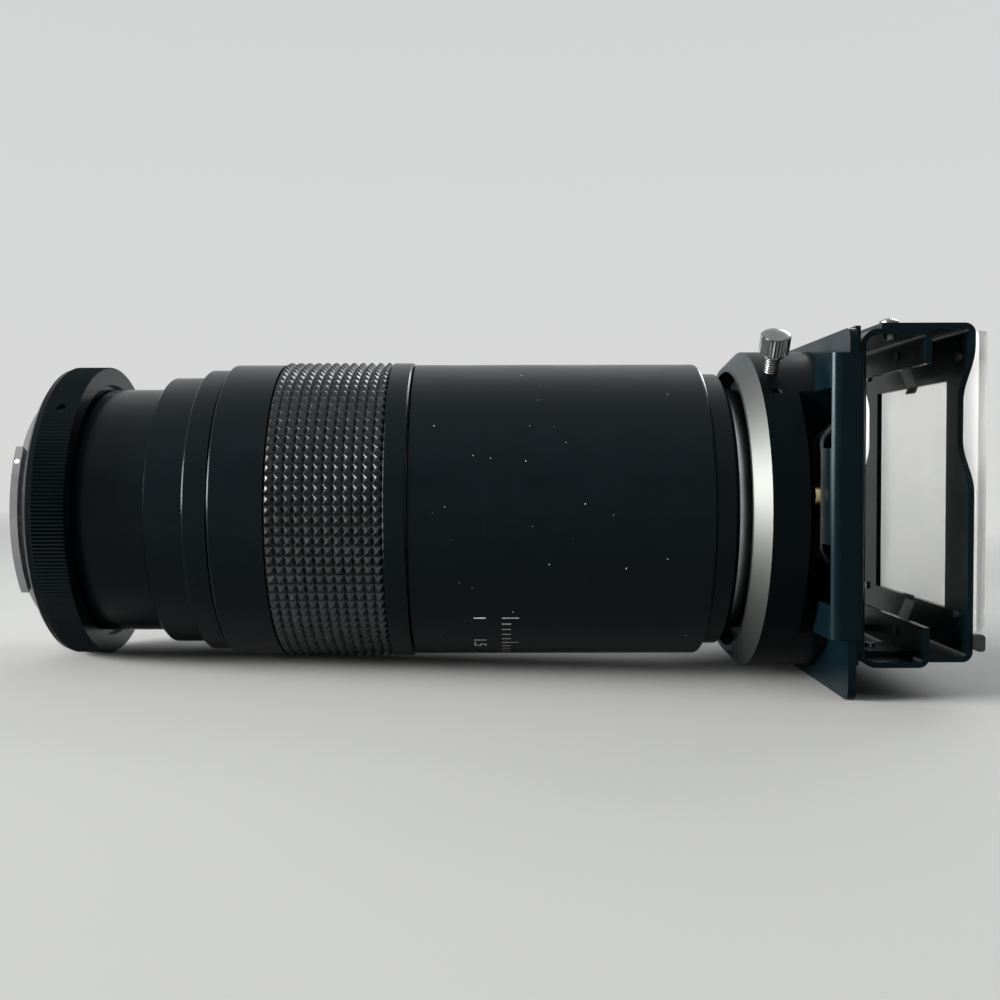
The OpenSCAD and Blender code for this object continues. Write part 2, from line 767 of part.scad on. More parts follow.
module thumbscrew() {
    dome_h = 1;
    dome_r = (thumb_head_r * thumb_head_r + dome_h * dome_h) / (2 * dome_h);
    head_h = thumb_head_h - dome_h - thumb_neck_h;
    color("silver") outward(clamp_x, thumbscrew_angle) {
        translate([0, 0, screw_tip_r - 0.75]) cylinder(r = 0.7, h = 1);
        translate([0, 0, screw_tip_r]) cylinder(r = thumbscrew_r, h = thumb_neck_r - screw_tip_r);
        translate([0, 0, thumb_neck_r]) cylinder(r = thumb_head_r * 0.72, h = thumb_neck_h);
        translate([0, 0, thumb_neck_r + thumb_neck_h])
            knurled(thumb_head_r, 0.22, 28, head_h);
        intersection() {
            translate([0, 0, thumb_neck_r + thumb_head_h - dome_r]) sphere(dome_r);
            translate([0, 0, thumb_neck_r + thumb_neck_h + head_h])
                cylinder(r = thumb_head_r - 0.25, h = dome_h + 1);
        }
    }
}

// Bent sheet seen end on: a ring of even thickness, with one bend radius at low x and one at high x
module sheet_ring(w, h, low_r, high_r, t) {
    for (side = [[-w, low_r], [0, high_r]]) intersection() {
        difference() {
            round_rect(w, h, side[1]);
            round_rect(w - 2 * t, h - 2 * t, side[1] - t);
        }
        translate([side[0], -h]) square([w, 2 * h]);
    }
}

// The carrier's plate lies on the flange plate, its webs wrap both edges,
// and three tabs on each web are bent in behind
module stage_carrier() {
    depth = bracket_x - tab_x;
    tab_cut = tab_x + carrier_t + 0.4;
    color("dimgray") translate([0, 0, stage_shift]) difference() {
        union() {
            translate([tab_x + depth / 2, 0, -web_h / 2]) linear_extrude(web_h)
                sheet_ring(depth, 2 * web_outer, tab_bend_r, plate_bend_r, carrier_t);
            translate([carrier_x, -bracket_w / 2, -bracket_h / 2])
                cube([carrier_t, bracket_w, bracket_h]);
        }
        translate([tab_x - 1, tab_depth - web_outer, -web_h])
            cube([tab_cut + 1 - tab_x, 2 * (web_outer - tab_depth), 2 * web_h]);
        for (s = [0, 180], m = [-1, 1])
            rotate([s, 0, 0])
                translate([tab_x - 1, -web_inner, min(m * mid_tab_half, m * mid_gap_half)])
                    cube([tab_cut + 1 - tab_x, tab_depth + 2, mid_gap_half - mid_tab_half]);
        translate([carrier_x - 1, -light_hole / 2, -light_hole / 2])
            cube([carrier_t + 2, light_hole, light_hole]);
        for (s = [-1, 1])
            translate([tab_x, s * (leaf_y + leaf_w / 2), 0])
                along_x(-1) cylinder(r = rivet_r + seat_gap, h = 4);
        for (a = [-1, 1], b = [-1, 1])
            translate([carrier_x, a * carrier_rivet_at, b * carrier_rivet_at])
                along_x(-1) cylinder(r = rivet_r + seat_gap, h = 4);
    }
}

// Middle line of the bowed leaf spring for z >= 0: straight, a round bend, then a straight end
module leaf_profile() {
    reach = flange_x - spring_gap - tab_x;
    bend_x = leaf_bend_r * (1 - cos(leaf_bend));
    end_len = (reach - leaf_t - bend_x) / sin(leaf_bend);
    arc = [
        for (a = [0:10:leaf_bend])
            [leaf_bend_r * (1 - cos(a)), leaf_straight + leaf_bend_r * sin(a), a]
    ];
    last = arc[len(arc) - 1];
    tip = [last[0] + end_len * sin(leaf_bend), last[1] + end_len * cos(leaf_bend), leaf_bend];
    line = concat(arc, [tip]);
    inner = [for (p = line) [p[0], p[1]]];
    outer = [for (p = line) [p[0] - leaf_t * cos(p[2]), p[1] + leaf_t * sin(p[2])]];
    half = concat(inner, [for (i = [len(outer) - 1:-1:0]) outer[i]]);
    for (s = [1, -1]) polygon([for (p = half) [p[0], s * p[1]]]);
    translate([-leaf_t, -leaf_straight]) square([leaf_t, 2 * leaf_straight]);
}

module leaf_springs() {
    color("dimgray") translate([0, 0, stage_shift]) for (s = [-1, 1])
        difference() {
            translate([tab_x, s * (leaf_y + leaf_w / 2) + leaf_w / 2, 0])
                rotate([90, 0, 0]) linear_extrude(leaf_w) leaf_profile();
            translate([tab_x, s * (leaf_y + leaf_w / 2), 0])
                along_x(-2) cylinder(r = rivet_r + seat_gap, h = 4);
        }
}

module spring_rivets() {
    color("gold") translate([0, 0, stage_shift]) for (s = [-1, 1])
        translate([tab_x, s * (leaf_y + leaf_w / 2), 0]) {
            along_x(-leaf_t) cylinder(r = rivet_r, h = leaf_t + carrier_t + 0.4);
            along_x(carrier_t) cylinder(r = rivet_r * 1.5, h = 0.4);
            translate([-leaf_t, 0, 0]) rotate([0, -90, 0]) pan_head(rivet_head_r, rivet_head_h);
        }
}

// The first sheet bracket: back plate, top and bottom walls and two inward lips.
// It sits half a sheet low, so the gate bracket's walls lap over its top and inside its bottom.
module stage_bracket() {
    color("dimgray") translate([0, 0, stage_shift - sheet_t / 2]) difference() {
        bracket_sheet(bracket_x, bracket_depth, back_bend_r);
        translate([lip_x - 1, -bracket_w, sheet_t / 2 - lip_edge])
            cube([sheet_t + 2, 2 * bracket_w, 2 * lip_edge]);
        translate([bracket_x - 1, -light_hole / 2, sheet_t / 2 - light_hole / 2])
            cube([sheet_t + 2, light_hole, light_hole]);
        for (a = [-1, 1])
            translate([
                lip_x - 1, a * stage_screw_bottom_y - tongue_w / 2 - 0.1,
                sheet_t - bracket_h / 2
            ])
                cube([sheet_t + 2, tongue_w + 0.2, sheet_t + 0.1]);
        translate([0, 0, sheet_t / 2]) {
            stage_screw_holes();
            for (a = [-1, 1], b = [-1, 1])
                translate([bracket_x, a * carrier_rivet_at, b * carrier_rivet_at])
                    along_x(-1) cylinder(r = rivet_r + seat_gap, h = 4);
            for (a = [-1, 1], b = [-1, 1])
                translate([lip_x, a * slide_spring_y, b * slide_rivet_z])
                    along_x(-1) cylinder(r = slide_rivet_r + seat_gap, h = 4);
        }
    }
}

// A closed box of bent sheet along Y, from which each bracket is cut
module bracket_sheet(x, depth, back_r) {
    translate([x + depth / 2, bracket_w / 2, 0]) rotate([90, 0, 0]) linear_extrude(bracket_w)
        sheet_ring(depth, bracket_h, back_r, lip_bend_r, sheet_t);
}

// Two screws go down through the top walls and two go up through the bottom ones
module stage_screw_places() {
    for (a = [-1, 1]) {
        translate([stage_screw_x, a * stage_screw_top_y, 0]) children();
        translate([stage_screw_x, a * stage_screw_bottom_y, 0]) rotate([180, 0, 0]) children();
    }
}

module stage_screw_holes() {
    stage_screw_places()
        translate([0, 0, bracket_h / 4])
            cylinder(r = stage_screw_r + seat_gap, h = bracket_h);
}

module carrier_rivets() {
    color("dimgray") translate([0, 0, stage_shift])
        for (a = [-1, 1], b = [-1, 1])
            translate([carrier_x, a * carrier_rivet_at, b * carrier_rivet_at]) {
                along_x() cylinder(r = rivet_r, h = carrier_t + sheet_t);
                along_x(carrier_t + sheet_t) pan_head(1.7, 0.8);
            }
}

// Outline of the gate's plate: a rectangle with a soft thumb notch in both side edges
module gate_outline() {
    flat = notch_len * 0.27;
    slope = (notch_len - flat) / 2;
    dip = function (z)
        let (d = max(0, abs(z - notch_z) - flat / 2) / slope)
        d >= 1 ? 0 : notch_depth * (1 + cos(180 * d)) / 2;
    side = [
        for (i = [0:24]) let (z = notch_z - notch_len / 2 + i * notch_len / 24)
            [bracket_w / 2 - dip(z), z]
    ];
    half = concat([[bracket_w / 2, -bracket_h]], side, [[bracket_w / 2, bracket_h]]);
    polygon(concat(half, [for (i = [len(half) - 1:-1:0]) [-half[i][0], half[i][1]]]));
}

// The second sheet bracket: the gate plate with its window and two walls that run back.
// The top wall laps over the stage bracket; the bottom one ends in two tongues that pass its lip.
module gate_bracket() {
    front = gate_x + sheet_t;
    start = bracket_x + back_bend_r + 0.5;
    depth = 2 * (front - start);
    color("dimgray") translate([0, 0, stage_shift]) difference() {
        intersection() {
            translate([0, 0, sheet_t / 2])
                bracket_sheet(front - depth, depth, lip_bend_r);
            translate([start, 0, 0]) rotate([90, 0, 90]) linear_extrude(front) gate_outline();
        }
        translate([gate_x - 1, -window_w / 2, -window_h / 2])
            cube([sheet_t + 2, window_w, window_h]);
        difference() {
            translate([start - 1, -bracket_w, -bracket_h])
                cube([lip_x + sheet_t + run_gap - start + 1, 2 * bracket_w, bracket_h]);
            for (a = [-1, 1])
                translate([start - 2, a * stage_screw_bottom_y - tongue_w / 2, -bracket_h])
                    cube([bracket_depth + 4, tongue_w, bracket_h]);
        }
        stage_screw_holes();
        diffuser_screw_places() cylinder(r = 0.9 + seat_gap, h = 4, center = true);
    }
}

module stage_screws() {
    top = bracket_h / 2 + sheet_t / 2;
    color("dimgray") translate([0, 0, stage_shift])
        stage_screw_places() {
            translate([0, 0, top]) pan_head(stage_screw_head_r, stage_screw_head_h);
            translate([0, 0, top - 2 * sheet_t - 0.8])
                cylinder(r = stage_screw_r, h = 2 * sheet_t + 0.8 + eps);
        }
}

// Bowed tongues behind the lips press a slide mount on to the gate
module slide_springs() {
    color("silver") translate([0, 0, stage_shift])
        for (a = [-1, 1], b = [0, 180])
            rotate([b, 0, 0]) translate([lip_x + sheet_t, a * slide_spring_y, 0])
                difference() {
                    rotate([90, 0, 0]) linear_extrude(slide_spring_w, center = true)
                        slide_spring_profile();
                    translate([0, 0, slide_rivet_z])
                        along_x(-1) cylinder(r = slide_rivet_r + seat_gap, h = 3);
                }
}

module slide_spring_profile() {
    root = lip_edge + lip_h - 2 * sheet_t - 0.4;
    fold = lip_edge + 0.4;
    tip = fold - slide_spring_tongue;
    t = slide_spring_t;
    out = slide_spring_throw;
    polygon([
        [0, root], [0, fold], [out - t, tip + 1.2], [out - t - 0.5, tip],
        [out - 0.5, tip], [out, tip + 1.2], [t, fold], [t, root]
    ]);
}

module slide_spring_rivets() {
    color("silver") translate([0, 0, stage_shift])
        for (a = [-1, 1], b = [-1, 1])
            translate([lip_x - 0.3, a * slide_spring_y, b * slide_rivet_z]) {
                along_x() cylinder(r = slide_rivet_r, h = 0.3 + sheet_t + slide_spring_t);
                along_x(0.3 + sheet_t + slide_spring_t) pan_head(1.4, 0.6);
            }
}

module diffuser_screw_places() {
    for (a = [-1, 1], z = [diffuser_screw_bottom, diffuser_screw_top])
        translate([opal_x, a * diffuser_screw_y, z])
            rotate([0, 90, 0]) children();
}

module opal_diffuser() {
    h = opal_top - opal_bottom;
    color("white") translate([0, 0, stage_shift]) difference() {
        translate([opal_x, 0, (opal_top + opal_bottom) / 2])
            along_x() linear_extrude(opal_t) round_rect(h, opal_w, 1.5);
        diffuser_screw_places() cylinder(r = 0.9 + seat_gap, h = 8, center = true);
    }
}

module diffuser_rail() {
    color("dimgray") translate([0, 0, stage_shift])
        translate([opal_x + (opal_t + 0.2) / 2, opal_w / 2, opal_bottom - rail_h / 2])
            rotate([90, 0, 0]) linear_extrude(opal_w)
                round_rect(opal_t + 0.2, rail_h, 0.6);
}

module diffuser_screws() {
    color("dimgray") translate([0, 0, stage_shift]) diffuser_screw_places() {
        translate([0, 0, -sheet_t - 0.5]) cylinder(r = 0.9, h = sheet_t + 0.5 + opal_t);
        translate([0, 0, opal_t]) pan_head(1.6, 0.9);
    }
}

bayonet_flange();
mount_ring();
thread_ring();
mount_set_screws();
rear_tube();
step_ring();
stop_ring();
guide_tube();
main_barrel();
front_ring();
inner_tube();
zoom_ring();
rubber_grip();
cam_sleeve();
cam_sleeve_screws();
lens_cell();
front_lens();
rear_lens();
lens_retainers();
stop_plate();
cam_pins();
holder_collar();
collar_set_screw();
flange_plate();
flange_screws();
clamp_shoe();
thumbscrew();
stage_carrier();
leaf_springs();
spring_rivets();
stage_bracket();
carrier_rivets();
gate_bracket();
stage_screws();
slide_springs();
slide_spring_rivets();
opal_diffuser();
diffuser_rail();
diffuser_screws();
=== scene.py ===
import json
import math
import random

import bmesh
import bpy
from mathutils import Matrix, Vector


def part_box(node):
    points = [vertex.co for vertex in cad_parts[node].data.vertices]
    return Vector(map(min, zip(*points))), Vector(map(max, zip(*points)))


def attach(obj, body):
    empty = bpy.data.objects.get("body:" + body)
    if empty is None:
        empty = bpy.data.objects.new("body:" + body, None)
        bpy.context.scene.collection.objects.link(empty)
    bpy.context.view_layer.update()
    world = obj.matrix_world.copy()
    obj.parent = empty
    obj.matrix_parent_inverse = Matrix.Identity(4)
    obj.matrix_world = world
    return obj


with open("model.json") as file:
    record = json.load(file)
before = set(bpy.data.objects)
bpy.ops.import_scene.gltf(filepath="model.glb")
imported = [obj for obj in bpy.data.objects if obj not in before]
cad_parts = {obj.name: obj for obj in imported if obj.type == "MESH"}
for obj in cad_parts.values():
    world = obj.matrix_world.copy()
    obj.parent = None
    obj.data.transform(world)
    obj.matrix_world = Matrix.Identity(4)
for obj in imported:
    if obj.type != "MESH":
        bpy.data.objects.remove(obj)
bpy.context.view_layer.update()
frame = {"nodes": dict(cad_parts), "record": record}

NODES = frame["nodes"]
random.seed(7)

# Lengths are in metres. X runs along the lens axis from the camera end to the slide end, Z is up,
# and the photograph's camera looks along +Y.
BARREL_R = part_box("main_barrel")[1][2]
LUG_R = 0.027  # the bayonet lugs' outer radius
LUG_LEN = 0.0015  # their length along the lens axis
SCREW_AXIS = (0.0, -0.544639, 0.838671)  # from the lens axis towards the thumbscrew's head
SHANK_TOP = 0.0374  # distance from the lens axis at which the thumbscrew's thread ends
THREAD_PITCH = 0.0005

# How far drawn marks stand off the surface under them, so that they show.
MARK_LIFT = 0.00003
RECESS_SHADE_LIFT = 0.00002
DUST_LIFT = 0.00002

HORIZON = (0.69, 0.69, 0.685)  # the colour of the low part of the wall, and of the far floor


# ---------------------------------------------------------------- shader nodes

def feed(tree, socket, value):
    """Links another node's output to a socket, or sets a plain value on it."""
    if isinstance(value, bpy.types.NodeSocket):
        tree.links.new(value, socket)
    else:
        socket.default_value = value


def feed_named(tree, node, values):
    for name, value in values.items():
        feed(tree, node.inputs[name], value)


def add(tree, kind, *values, operation=None):
    """Adds a node and feeds its first inputs in order."""
    node = tree.nodes.new("ShaderNode" + kind)
    if operation:
        node.operation = operation
    for socket, value in zip(node.inputs, values):
        feed(tree, socket, value)
    return node


def ramp(tree, source, stops):
    """A colour ramp on a grey value, with (place, value) stops."""
    node = tree.nodes.new("ShaderNodeValToRGB")
    elements = node.color_ramp.elements
    while len(elements) < len(stops):
        elements.new(0.5)
    for element, (place, value) in zip(elements, stops):
        element.position = place
        colour = value if isinstance(value, tuple) else (value, value, value)
        element.color = (*colour, 1)
    feed(tree, node.inputs["Fac"], source)
    return node.outputs["Color"]


def noise(tree, scale, detail=4.0, stretch=(1, 1, 1)):
    """Noise on the object's own coordinates; scale is in patches per metre."""
    place = add(tree, "TexCoord").outputs["Object"]
    mapping = add(tree, "Mapping")
    feed_named(tree, mapping, {"Scale": stretch, "Vector": place})
    texture = add(tree, "TexNoise")
    feed_named(tree, texture, {
        "Scale": scale,
        "Detail": detail,
        "Vector": mapping.outputs["Vector"],
    })
    return texture.outputs["Fac"]


def vary(tree, source, low, high):
    """Spreads noise, most of which lies between 0.3 and 0.7, over low to high."""
    return ramp(tree, source, [(0.3, low), (0.7, high)])


def bump(tree, height, strength, distance):
    node = add(tree, "Bump")
    feed_named(tree, node, {"Strength": strength, "Distance": distance, "Height": height})
    return node.outputs["Normal"]


def along(tree, source, axis):
    """How far a vector reaches along an axis."""
    return add(tree, "VectorMath", source, axis, operation="DOT_PRODUCT").outputs["Value"]


def seen_by(tree):
    """1 for the rays that show the background: from the camera, through glass and off mirrors."""
    rays = add(tree, "LightPath").outputs
    total = rays["Is Camera Ray"]
    for ray in ("Is Transmission Ray", "Is Glossy Ray"):
        total = add(tree, "Math", total, rays[ray], operation="MAXIMUM").outputs[0]
    return total


# ---------------------------------------------------------------- materials

def new_material(name):
    mat = bpy.data.materials.new(name)
    mat.use_nodes = True
    return mat, mat.node_tree, mat.node_tree.nodes["Principled BSDF"]


def painted(name, base, rough, grain=2500, depth=0.00002, tint=(1, 1, 1), specular=0.5):
    """Paint or anodising: an even base with a fine grain and slightly uneven gloss."""
    mat, tree, bsdf = new_material(name)
    spread = 0.06
    feed_named(tree, bsdf, {
        "Specular Tint": (*tint, 1),
        "Specular IOR Level": specular,
        "Base Color": vary(tree, noise(tree, 180), tuple(0.8 * c for c in base),
                           tuple(1.2 * c for c in base)),
        "Roughness": vary(tree, noise(tree, 60, 6), rough - spread, rough + spread),
        "Normal": bump(tree, noise(tree, grain, 2), 0.25, depth),
    })
    return mat


def collar_black_lit_bevel():
    """Satin black; the bevel and mouth, which face the camera end and the left lamp, are the same
    black satin, drawn as a rougher grey metal whose brightness is a painted reflection of that
    lamp.
    """
    mat, tree, bsdf = new_material("collar_black_lit_bevel")
    lean = along(tree, add(tree, "TexCoord").outputs["Normal"], (-1, 0, 0))

    def side_or_lit_bevel(side, bevel):
        return ramp(tree, lean, [(0.3, side), (0.4, bevel)])

    feed_named(tree, bsdf, {
        "Specular Tint": (0.78, 0.92, 1.0, 1),
        "Specular IOR Level": 0.03,
        # The bevel's metal finish and grey base colour are painted reflection, standing in for the
        # left lamp's highlight on black satin.
        "Metallic": side_or_lit_bevel(0.0, 1.0),
        "Base Color": side_or_lit_bevel((0.0018, 0.003, 0.0038), (0.075, 0.078, 0.075)),
        "Roughness": side_or_lit_bevel(0.30, 0.54),
        "Normal": bump(tree, noise(tree, 2500, 2), 0.25, 0.00002),
    })
    return mat


def metal(name, base, rough, stretch=(1, 1, 1), spread=0.08):
    """Bare metal with fine marks along its grain."""
    mat, tree, bsdf = new_material(name)
    marks = noise(tree, 900, 3, stretch)
    feed_named(tree, bsdf, {
        "Metallic": 1.0,
        "Base Color": vary(tree, noise(tree, 300, 3), tuple(0.86 * c for c in base), base),
        "Roughness": vary(tree, marks, rough - spread, rough + spread),
        "Normal": bump(tree, marks, 0.15, 0.00001),
    })
    return mat


def rubber():
    """Moulded rubber, with pale dust on some of the pyramids."""
    mat, tree, bsdf = new_material("grip_rubber")
    feed_named(tree, bsdf, {
        "IOR": 1.54,
        "Specular Tint": (0.86, 0.95, 1.0, 1),
        "Base Color": ramp(tree, noise(tree, 400), [(0.35, 0.006), (0.62, 0.012), (0.75, 0.04)]),
        "Roughness": vary(tree, noise(tree, 90), 0.24, 0.34),
        "Normal": bump(tree, noise(tree, 4000, 2), 0.2, 0.00002),
    })
    return mat


def threaded_nickel():
    """Worn nickel, with a fine thread on the thumbscrew's shank."""
    mat, tree, bsdf = new_material("threaded_nickel")
    height = along(tree, add(tree, "TexCoord").outputs["Object"], SCREW_AXIS)
    turns = add(tree, "Math", height, 2 * math.pi / THREAD_PITCH, operation="MULTIPLY").outputs[0]
    wave = add(tree, "Math", turns, operation="SINE").outputs[0]
    on_shank = add(tree, "Math", height, SHANK_TOP, operation="LESS_THAN").outputs[0]
    thread = add(tree, "Math", wave, on_shank, operation="MULTIPLY").outputs[0]
    feed_named(tree, bsdf, {
        "Metallic": 1.0,
        "Base Color": vary(tree, noise(tree, 300, 3), (0.16, 0.17, 0.17), (0.22, 0.225, 0.22)),
        "Roughness": vary(tree, noise(tree, 900, 3), 0.28, 0.38),
        "Normal": bump(tree, thread, 0.8, 0.00008),
    })
    return mat


def glass():
    """Coated lens glass with a faint smear."""
    mat, tree, bsdf = new_material("lens_glass")
    feed_named(tree, bsdf, {
        "Base Color": (0.93, 0.96, 0.97, 1),
        "Transmission Weight": 1.0,
        "IOR": 1.52,
        "Coat Weight": 0.3,
        "Coat Tint": (0.6, 0.5, 0.9, 1),
        "Roughness": ramp(tree, noise(tree, 40), [(0.4, 0.0), (0.8, 0.03)]),
    })
    return mat


def opal():
    """Milky plastic that lets the background's light through."""
    mat, tree, bsdf = new_material("opal_plastic")
    feed_named(tree, bsdf, {
        "Transmission Weight": 0.9,
        "Subsurface Weight": 0.5,
        "Subsurface Radius": (0.004, 0.004, 0.004),
        "Base Color": vary(tree, noise(tree, 90), (0.96, 0.96, 0.94), (0.99, 0.99, 0.975)),
        "Roughness": vary(tree, noise(tree, 70), 0.6, 0.7),
        "Normal": bump(tree, noise(tree, 2500, 2), 0.15, 0.00002),
    })
    return mat


MATERIALS = {
    "black_satin": painted("black_satin", (0.001, 0.002, 0.0028), 0.24, tint=(0.74, 0.91, 1.0),
                           specular=0.15),
    "black_matt": painted("black_matt", (0.006, 0.006, 0.0066), 0.52),
    "sheet_black": painted("sheet_black", (0.0012, 0.0044, 0.0062), 0.24, grain=1400,
                           depth=0.00004, tint=(0.72, 0.93, 1.0), specular=0.08),
    "bayonet_chrome": metal("bayonet_chrome", (0.34, 0.34, 0.35), 0.16, spread=0.04),
    "nickel": threaded_nickel(),
    "screw_steel": metal("screw_steel", (0.16, 0.16, 0.17), 0.35),
    "spring_black": metal("spring_black", (0.42, 0.44, 0.46), 0.30, (1, 1, 0.1)),
    "spring_steel": metal("spring_steel", (0.05, 0.055, 0.06), 0.3, (1, 1, 0.1)),
    "rivet_brass": metal("rivet_brass", (0.92, 0.76, 0.46), 0.24),
    "cam_brass": metal("cam_brass", (0.7, 0.55, 0.28), 0.26, (0.05, 1, 1)),
    "tube_aluminium": metal("tube_aluminium", (0.42, 0.43, 0.44), 0.2, (0.05, 0.05, 0.05),
                            spread=0.03),
    "grip_rubber": rubber(),
    "lens_glass": glass(),
    "opal_plastic": opal(),
}
OWN_MATERIALS = {"holder_collar": collar_black_lit_bevel()}
# Near-black paint for the screw recesses and sockets: painted shade where the hollows would be
# dark.
RECESS_SHADE = painted("recess_painted_shade", (0.004, 0.004, 0.0045), 0.6)
WHITE = painted("scale_white", (0.62, 0.62, 0.6), 0.5)


def dress_nodes():
    slots = {s["node"]: s["material_slot"] for s in frame["record"]["subparts"]}
    for name, obj in NODES.items():
        obj.data.materials.clear()
        obj.data.materials.append(OWN_MATERIALS.get(name, MATERIALS[slots[name]]))


# ---------------------------------------------------------------- small visual pieces

def add_piece(name, mesh, mat, body):
    obj = bpy.data.objects.new(name, mesh)
    bpy.context.scene.collection.objects.link(obj)
    obj.data.materials.append(mat)
    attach(obj, body)


def flat_piece(name, verts, faces, mat, body):
    mesh = bpy.data.meshes.new(name)
    mesh.from_pydata([tuple(v) for v in verts], [], faces)
    add_piece(name, mesh, mat, body)


def bar(length, width, turn):
    c, s = math.cos(turn), math.sin(turn)
    corners = [(-length / 2, -width / 2), (length / 2, -width / 2),
               (length / 2, width / 2), (-length / 2, width / 2)]
    return [(c * u - s * v, s * u + c * v) for u, v in corners]


def polygon(radius, count, turn=0.0):
    return [(radius * math.cos(turn + i * 2 * math.pi / count),
             radius * math.sin(turn + i * 2 * math.pi / count)) for i in range(count)]


def round_axis(x, angle, radius):
    """A point round the lens axis; the angle is above the level line on the camera's side."""
    return Vector((x, -radius * math.cos(angle), radius * math.sin(angle)))


def on_barrel(x, angle, lift=MARK_LIFT):
    return round_axis(x, angle, BARREL_R + lift)


def islands(node):
    """The separate solids of a CAD node, each as a list of points in the row frame."""
    obj = NODES[node]
    bm = bmesh.new()
    bm.from_mesh(obj.data)
    bmesh.ops.remove_doubles(bm, verts=bm.verts, dist=1e-7)
    seen, found = set(), []
    for first in bm.verts:
        if first in seen:
            continue
        stack, points = [first], []
        seen.add(first)
        while stack:
            vert = stack.pop()
            points.append(obj.matrix_world @ vert.co)
            for edge in vert.link_edges:
                other = edge.other_vert(vert)
                if other not in seen:
                    seen.add(other)
                    stack.append(other)
        found.append(points)
    bm.free()
    return found


def recess_shade_on_heads(name, node, body, direction, shapes):
    """Thin dark marks, such as a cross recess or a hexagon socket, on each screw's outer end:
    painted shade standing in for the dark inside a hollow that the heads don't have.
    """
    end_depth = 0.0002
    verts, faces = [], []
    for points in islands(node):
        centre = sum(points, Vector()) / len(points)
        out = direction(centre).normalized()
        side = out.orthogonal().normalized()
        other = out.cross(side)
        top = max((q - centre).dot(out) for q in points)
        end = [q for q in points if (q - centre).dot(out) > top - end_depth]
        low, high = [[f((q - centre).dot(axis) for q in end) for axis in (side, other)]
                     for f in (min, max)]
        base = centre + out * (top + RECESS_SHADE_LIFT)
        base += side * (low[0] + high[0]) / 2 + other * (low[1] + high[1]) / 2
        for shape in shapes:
            start = len(verts)
            verts += [base + side * u + other * v for u, v in shape]
            faces.append(tuple(range(start, start + len(shape))))
    flat_piece(name, verts, faces, RECESS_SHADE, body)


def screw_recess_shade():
    def upward(centre):
        return Vector((0, 0, 1 if centre.z > 0 else -1))

    def forward(centre):
        return Vector((1, 0, 0))

    def outward(centre):
        return Vector((0, centre.y, centre.z))

    turn = 0.5
    # The cross recesses and hexagon sockets are painted shade: flat near-black shapes on the
    # heads.
    cross = [bar(0.0012, 0.0003, turn), bar(0.0012, 0.0003, turn + math.pi / 2)]
    hexagon = [polygon(0.0005, 6)]
    recess_shade_on_heads("stage_screw_recess_shade", "stage_screws", "stage", upward, cross)
    recess_shade_on_heads("diffuser_screw_recess_shade", "diffuser_screws", "stage", forward, cross)
    recess_shade_on_heads("mount_screw_socket_shade", "mount_set_screws", "barrel", outward, hexagon)
    recess_shade_on_heads("collar_screw_socket_shade", "collar_set_screw", "holder", outward, hexagon)


def scale_numbers(x, first, step, words, size):
    """Plain numbers that read round the barrel, wrapped on its surface."""
    bm = bmesh.new()
    for i, word in enumerate(words):
        curve = bpy.data.curves.new("number", "FONT")
        curve.body = word
        curve.size = size
        curve.align_x = "CENTER"
        text = bpy.data.objects.new("number", curve)
        bpy.context.scene.collection.objects.link(text)
        bpy.context.view_layer.update()
        flat = bpy.data.meshes.new_from_object(text)
        bpy.data.objects.remove(text)
        one = bmesh.new()
        one.from_mesh(flat)
        bmesh.ops.triangulate(one, faces=one.faces)
        bmesh.ops.subdivide_edges(one, edges=one.edges, cuts=2, use_grid_fill=True)
        for vert in one.verts:
            vert.co = on_barrel(x + vert.co.y, first - i * step - vert.co.x / BARREL_R)
        bent = bpy.data.meshes.new("bent")
        one.to_mesh(bent)
        one.free()
        bm.from_mesh(bent)
    mesh = bpy.data.meshes.new("scale_numbers")
    bm.to_mesh(mesh)
    bm.free()
    add_piece("scale_numbers", mesh, WHITE, "barrel")


def scale_ticks(x, first, step, count):
    """Plain tick lines across the scale, every fifth one longer."""
    long_tick, short_tick, tick_width = 0.0034, 0.0018, 0.00024
    half = tick_width / 2 / BARREL_R
    verts, faces = [], []
    for i in range(count):
        middle = first - i * step
        length = long_tick if i % 5 == 0 else short_tick
        start = len(verts)
        verts += [on_barrel(x, middle - half), on_barrel(x + length, middle - half),
                  on_barrel(x + length, middle + half), on_barrel(x, middle + half)]
        faces.append((start, start + 1, start + 2, start + 3))
    flat_piece("scale_ticks", verts, faces, WHITE, "barrel")


def zoom_scale():
    first = math.radians(-42)
    step = 0.0019 / BARREL_R
    scale_numbers(x=0.0875, first=first, step=5 * step, words=["1", "1.5", "2", "2.5", "3"],
                  size=0.0036)
    scale_ticks(x=0.0932, first=first, step=step, count=21)


def index_mark(angle, radius):
    """White mark on the rim of a bayonet lug, for lining the mount up with the camera."""
    corners = 16
    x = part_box("bayonet_flange")[0][0] + LUG_LEN / 2
    verts = [round_axis(x + u, angle + v / LUG_R, LUG_R + MARK_LIFT)
             for u, v in polygon(radius, corners)]
    flat_piece("index_mark", verts, [tuple(range(corners))], WHITE, "barrel")


def dust(count):
    """A few pale specks lying on the barrel."""
    margin, corners = 0.003, 5
    verts, faces = [], []
    low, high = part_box("main_barrel")
    for _ in range(count):
        x = random.uniform(low[0] + margin, high[0] - margin)
        angle = math.radians(random.uniform(-60, 80))
        size = random.uniform(0.00005, 0.00014)
        turn = random.uniform(0, math.pi)
        start = len(verts)
        for u, v in polygon(size, corners, turn):
            verts.append(on_barrel(x + u, angle + v / BARREL_R, DUST_LIFT))
        faces.append(tuple(range(start, start + corners)))
    flat_piece("dust_specks", verts, faces, WHITE, "barrel")


# ---------------------------------------------------------------- floor, light, camera

